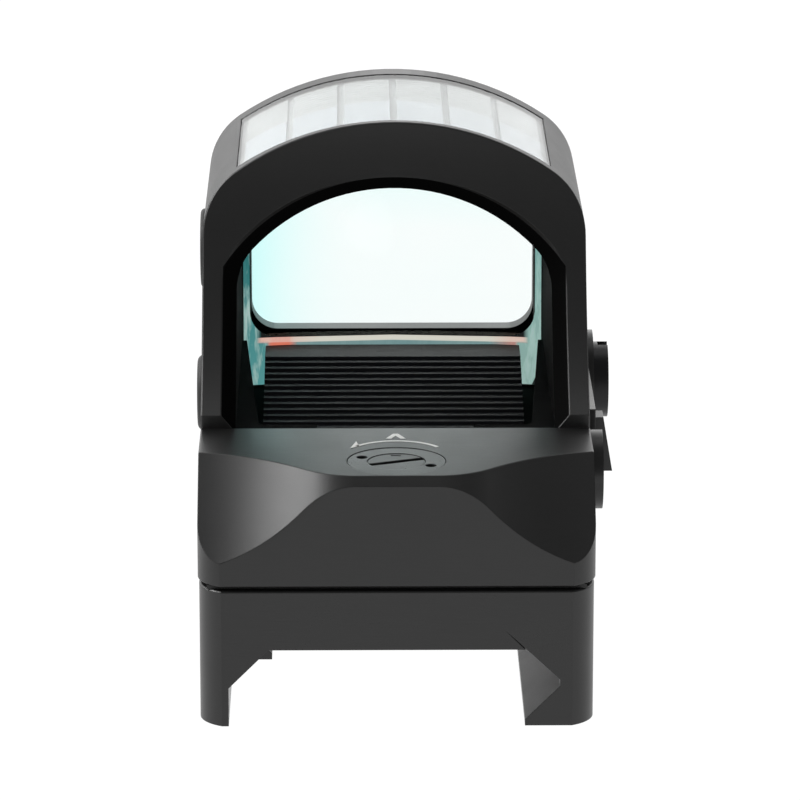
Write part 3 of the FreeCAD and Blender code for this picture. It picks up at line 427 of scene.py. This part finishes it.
class FINDER_OT_small_parts(bpy.types.Operator):
    """Finish the ramp, screws, seals, buttons and the parts inside"""
    bl_idname = "finder.small_parts"
    bl_label = "Small Parts"

    def execute(self, context):
        paint_nodes(plain("Ramp polymer", (0.016, 0.018, 0.024), 0.6, grain_mm=0.12), "ramp_insert")
        paint_nodes(plain("Blackened steel", (0.02, 0.02, 0.021), 0.35, Metallic=0.6),
                    "clamp_screw", "mount_screws", "cover_screws", "tray_lock_screw")
        paint_nodes(plain("Seal rubber", (0.03, 0.03, 0.03), 0.75),
                    "base_gasket", "elevation_seal", "windage_seal", "tray_seal")
        paint_nodes(plain("Button rubber", (0.02, 0.02, 0.02), 0.6), "button_minus", "button_plus")
        paint_nodes(plain("Brass", (0.55, 0.38, 0.14), 0.35, Metallic=1.0),
                    "elevation_carriage", "emitter_holder")
        paint_nodes(plain("Bright steel", (0.5, 0.5, 0.52), 0.3, Metallic=1.0),
                    "battery_cell", "battery_contact", "switch_domes")
        paint_nodes(plain("Dark board", (0.01, 0.03, 0.02), 0.4), "main_board", "bottom_cover")
        paint_nodes(plain("Flex film", (0.35, 0.18, 0.04), 0.35), "button_flex")
        paint_nodes(plain("Red diode", (0.5, 0.02, 0.02), 0.2), "led_chip")
        return {"FINISHED"}


class FINDER_OT_stage(bpy.types.Operator):
    """Set the floor, the soft lights and the camera"""
    bl_idname = "finder.stage"
    bl_label = "Stage"

    def execute(self, context):
        looks = context.scene.finder_looks
        lowest = CAD_BOUNDS[0][2]
        half = 4.0
        corners = [(x, y, lowest) for x, y in ((-half, -half), (half, -half), (half, half), (-half, half))]
        mesh = bpy.data.meshes.new("Floor")
        mesh.from_pydata(corners, [], [(0, 1, 2, 3)])
        floor = bpy.data.objects.new("Floor", mesh)
        context.scene.collection.objects.link(floor)
        shade = Shader("Pale floor", Base_Color=grey(0.03), Roughness=1.0, Specular_IOR_Level=0.0,
                       Emission_Color=(1, 1, 1, 1), Emission_Strength=looks.floor_glow)
        floor.data.materials.append(shade.material)
        lit_point = Vector((0, 0, 0.015))
        for name, where, size, glow in (
                ("Left key", (-0.62, 0.10, 0.50), (0.40, 0.40), looks.key_glow),
                ("Far wall", (0.0, 1.50, 0.80), (4.0, 1.6), looks.wall_glow),
                ("Overhead", (0.0, 0.25, 1.00), (0.7, 0.5), looks.top_glow)):
            light = bpy.data.lights.new(name, "AREA")
            light.shape = "RECTANGLE"
            light.size, light.size_y = size
            light.energy = glow * math.pi * size[0] * size[1]
            lamp = bpy.data.objects.new(name, light)
            lamp.location = where
            lamp.rotation_euler = (lit_point - Vector(where)).to_track_quat("-Z", "Y").to_euler()
            context.scene.collection.objects.link(lamp)
        world = bpy.data.worlds.new("Soft room")
        world.use_nodes = True
        background = world.node_tree.nodes["Background"]
        background.inputs["Color"].default_value = (1, 1, 1, 1)
        background.inputs["Strength"].default_value = looks.room_level
        context.scene.world = world
        view = bpy.data.cameras.new("Eye view")
        view.lens = 229.1
        view.sensor_width = 36
        view.clip_start = 0.01
        eye = bpy.data.objects.new("Eye view", view)
        where = Vector((-3.19, -376.8, 114.9)) * MM
        aim = Vector((0.243, -20.14, 16.68)) * MM
        eye.location = where
        eye.rotation_euler = (aim - where).to_track_quat("-Z", "Y").to_euler()
        context.scene.collection.objects.link(eye)
        context.scene.camera = eye
        context.scene.view_settings.view_transform = "Standard"
        return {"FINISHED"}


class FinderLooks(bpy.types.PropertyGroup):
    housing_level: bpy.props.FloatProperty(name="Housing tone", description="How light the housing's black is",
                                           default=0.010, min=0, max=1)
    housing_rough: bpy.props.FloatProperty(name="Housing roughness", description="Sheen of the housing",
                                           default=0.42, min=0, max=1)
    mount_level: bpy.props.FloatProperty(name="Mount tone", description="How light the mount's black is",
                                         default=0.010, min=0, max=1)
    mount_rough: bpy.props.FloatProperty(name="Mount roughness", description="Sheen of the mount",
                                         default=0.38, min=0, max=1)
    dial_level: bpy.props.FloatProperty(name="Dial tone", description="How light the dials' black is",
                                        default=0.012, min=0, max=1)
    # The colour of the lens's painted reflection at its left edge and top.
    lens_reflection_tint: bpy.props.FloatVectorProperty(name="Lens edge tint",
                                             description="Colour through the lens's left edge",
                                             subtype="COLOR", default=(0.66, 1.0, 0.98), min=0, max=1)
    lens_middle: bpy.props.FloatVectorProperty(name="Lens tint",
                                               description="Colour through the middle of the lens",
                                               subtype="COLOR", default=(0.95, 1.0, 0.99), min=0, max=1)
    floor_glow: bpy.props.FloatProperty(name="Floor glow", description="Brightness of the lit floor",
                                        default=1.02)
    room_level: bpy.props.FloatProperty(name="Room level", description="Brightness of the room",
                                        default=0.22)
    key_glow: bpy.props.FloatProperty(name="Left light", description="Brightness of the left panel",
                                      default=11.0)
    wall_glow: bpy.props.FloatProperty(name="Far wall", description="Brightness of the wall beyond",
                                       default=1.4)
    top_glow: bpy.props.FloatProperty(name="Overhead light", description="Brightness of the top panel",
                                      default=1.0)


OPERATORS = (FINDER_OT_housing, FINDER_OT_optics, FINDER_OT_lens_rim, FINDER_OT_marks,
             FINDER_OT_small_parts, FINDER_OT_stage)


class FINDER_PT_panel(bpy.types.Panel):
    """Lists the finishing steps"""
    bl_idname = "FINDER_PT_panel"
    bl_label = "Red Dot Finder"
    bl_space_type = "VIEW_3D"
    bl_region_type = "UI"
    bl_category = "Finder"

    def draw(self, context):
        for operator in OPERATORS:
            self.layout.operator(operator.bl_idname)
        for name in FinderLooks.__annotations__:
            self.layout.prop(context.scene.finder_looks, name)


CLASSES = (FinderLooks, *OPERATORS, FINDER_PT_panel)


def register():
    for item in CLASSES:
        bpy.utils.register_class(item)
    bpy.types.Scene.finder_looks = bpy.props.PointerProperty(type=FinderLooks)


def unregister():
    del bpy.types.Scene.finder_looks
    for item in reversed(CLASSES):
        bpy.utils.unregister_class(item)


def main():
    register()
    bpy.ops.finder.housing()
    bpy.ops.finder.optics()
    bpy.ops.finder.lens_rim()
    bpy.ops.finder.marks()
    bpy.ops.finder.small_parts()
    bpy.ops.finder.stage()


if __name__ == "__main__":
    main()
